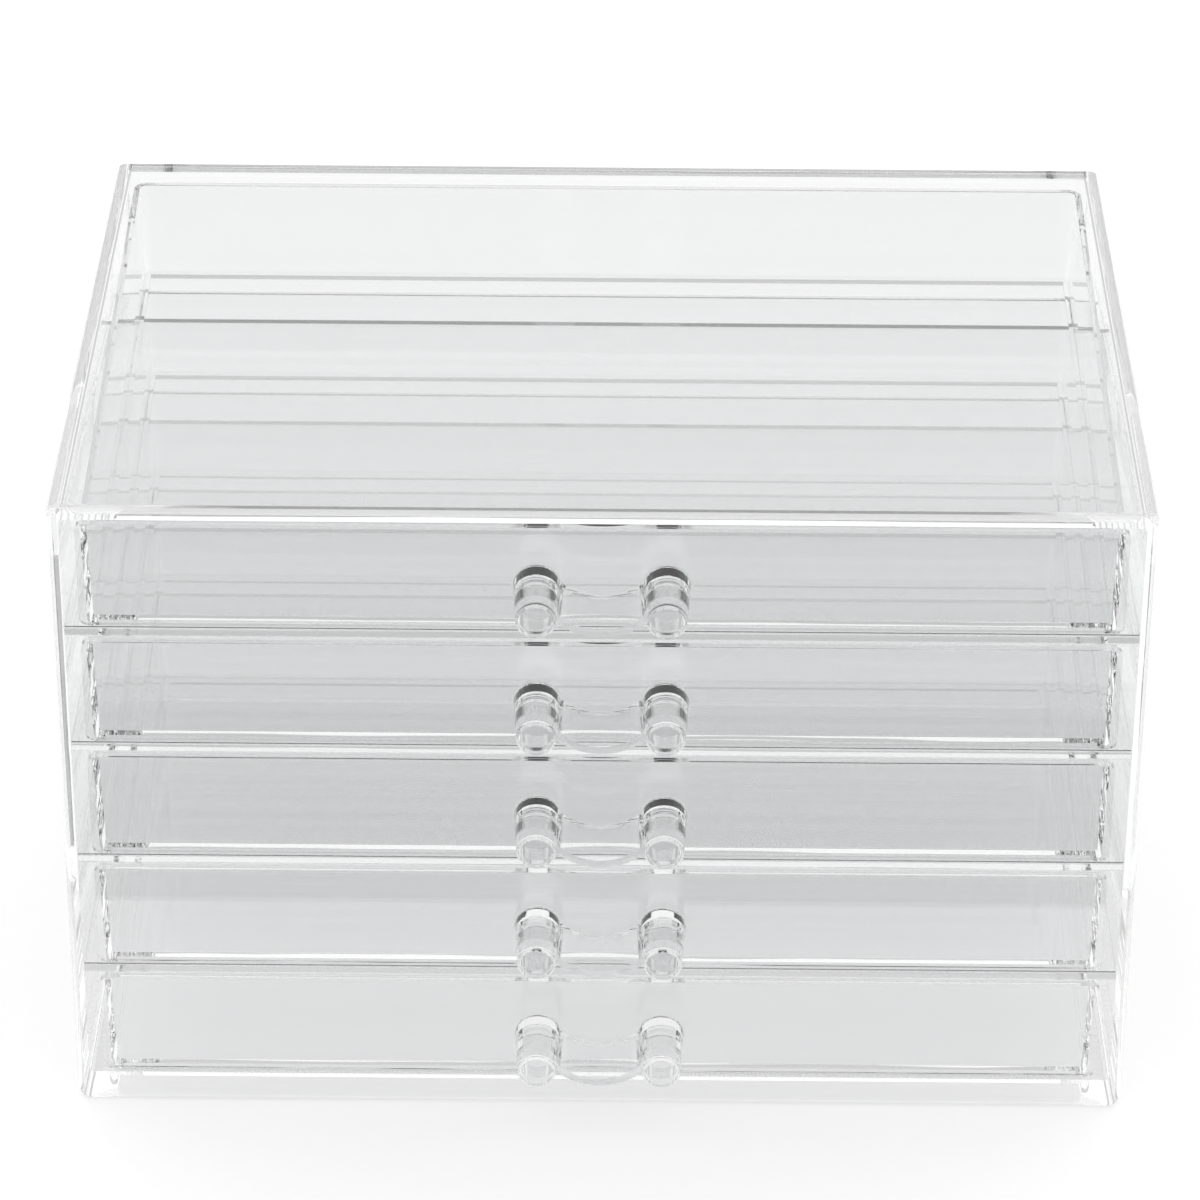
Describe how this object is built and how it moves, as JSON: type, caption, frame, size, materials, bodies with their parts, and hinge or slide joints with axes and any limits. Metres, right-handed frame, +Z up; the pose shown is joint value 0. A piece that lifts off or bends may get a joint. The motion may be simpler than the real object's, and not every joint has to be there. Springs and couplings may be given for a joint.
{
  "type": "necklace organizer",
  "caption": "Clear moulded jewellery organizer: a rounded case with shelves and stacked pull-out drawers, each with a two-post pull.",
  "frame": {"origin": "on the table, midway between the sides and midway between the pull tips and the back of the case", "axes": "+Z up; the drawers open towards -Y; +X to the right for someone facing the drawers"},
  "size_m": [0.235, 0.166, 0.1578],
  "materials": {
    "case_plastic": "clear polystyrene, polished",
    "tray_plastic": "clear polystyrene, polished",
    "front_plastic": "clear polystyrene, polished",
    "pull_plastic": "clear polystyrene, polished"
  },
  "bodies": {
    "case": {"case_shell": "case_plastic", "back_panel": "case_plastic", "shelf_1": "case_plastic", "shelf_2": "case_plastic", "shelf_3": "case_plastic", "shelf_4": "case_plastic"},
    "drawer_1": {"drawer_1_tray": "tray_plastic", "drawer_1_front": "front_plastic", "drawer_1_pull": "pull_plastic"},
    "drawer_2": {"drawer_2_tray": "tray_plastic", "drawer_2_front": "front_plastic", "drawer_2_pull": "pull_plastic"},
    "drawer_3": {"drawer_3_tray": "tray_plastic", "drawer_3_front": "front_plastic", "drawer_3_pull": "pull_plastic"},
    "drawer_4": {"drawer_4_tray": "tray_plastic", "drawer_4_front": "front_plastic", "drawer_4_pull": "pull_plastic"},
    "drawer_5": {"drawer_5_tray": "tray_plastic", "drawer_5_front": "front_plastic", "drawer_5_pull": "pull_plastic"}
  },
  "joints": [
    {"name": "drawer_1_slide", "type": "slide", "parent": "case", "child": "drawer_1", "axis": [0, -1, 0], "range_m": [0, 0.12]},
    {"name": "drawer_2_slide", "type": "slide", "parent": "case", "child": "drawer_2", "axis": [0, -1, 0], "range_m": [0, 0.12]},
    {"name": "drawer_3_slide", "type": "slide", "parent": "case", "child": "drawer_3", "axis": [0, -1, 0], "range_m": [0, 0.12]},
    {"name": "drawer_4_slide", "type": "slide", "parent": "case", "child": "drawer_4", "axis": [0, -1, 0], "range_m": [0, 0.12]},
    {"name": "drawer_5_slide", "type": "slide", "parent": "case", "child": "drawer_5", "axis": [0, -1, 0], "range_m": [0, 0.12]}
  ]
}
